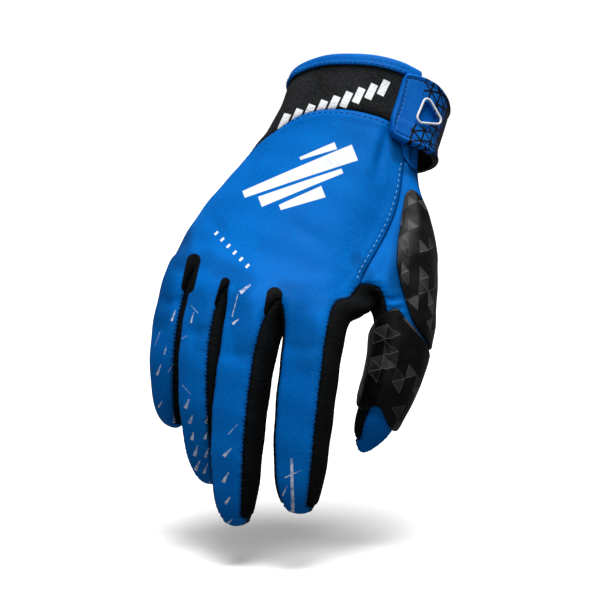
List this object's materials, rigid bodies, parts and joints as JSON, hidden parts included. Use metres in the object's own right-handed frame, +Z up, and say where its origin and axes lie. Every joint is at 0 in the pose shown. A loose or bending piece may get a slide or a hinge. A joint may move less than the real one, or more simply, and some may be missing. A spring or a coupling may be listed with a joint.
{
  "type": "motocross glove",
  "caption": "Right-hand motocross glove as worn, fingers hanging down, with padded cuff, wrist strap, curved fingers and grip patches on the thumb side; hollow for the hand.",
  "frame": {"origin": "middle of the wrist opening", "axes": "+Z up and out of the opening side, fingers hang towards -Z; the back of the hand faces -Y and the palm +Y; +X points to the thumb side"},
  "size_m": [0.114, 0.1347, 0.1757],
  "materials": {
    "blue_cloth": "matt knitted polyester, bright blue",
    "black_cloth": "matt stretch knit, black",
    "black_leather": "fine suede-like synthetic leather, black",
    "grip_rubber": "smooth pressed grip rubber, satin black",
    "blue_rubber": "moulded strap, satin blue and black",
    "white_rubber": "satin white"
  },
  "bodies": {
    "root": {"back_panel": "blue_cloth", "palm_panel": "black_leather", "cuff_band": "black_cloth", "cuff_binding": "blue_cloth", "fourchette_little_ring": "black_cloth", "fourchette_ring_middle": "black_cloth", "fourchette_middle_index": "black_cloth", "thumb_back": "blue_cloth", "thumb_palm": "black_leather", "thumb_gusset": "black_cloth", "thumb_grip_patch": "grip_rubber", "thenar_grip_patch": "grip_rubber", "wrist_strap": "blue_rubber", "window_rim": "white_rubber", "slit_binding": "blue_cloth"}
  },
  "joints": []
}
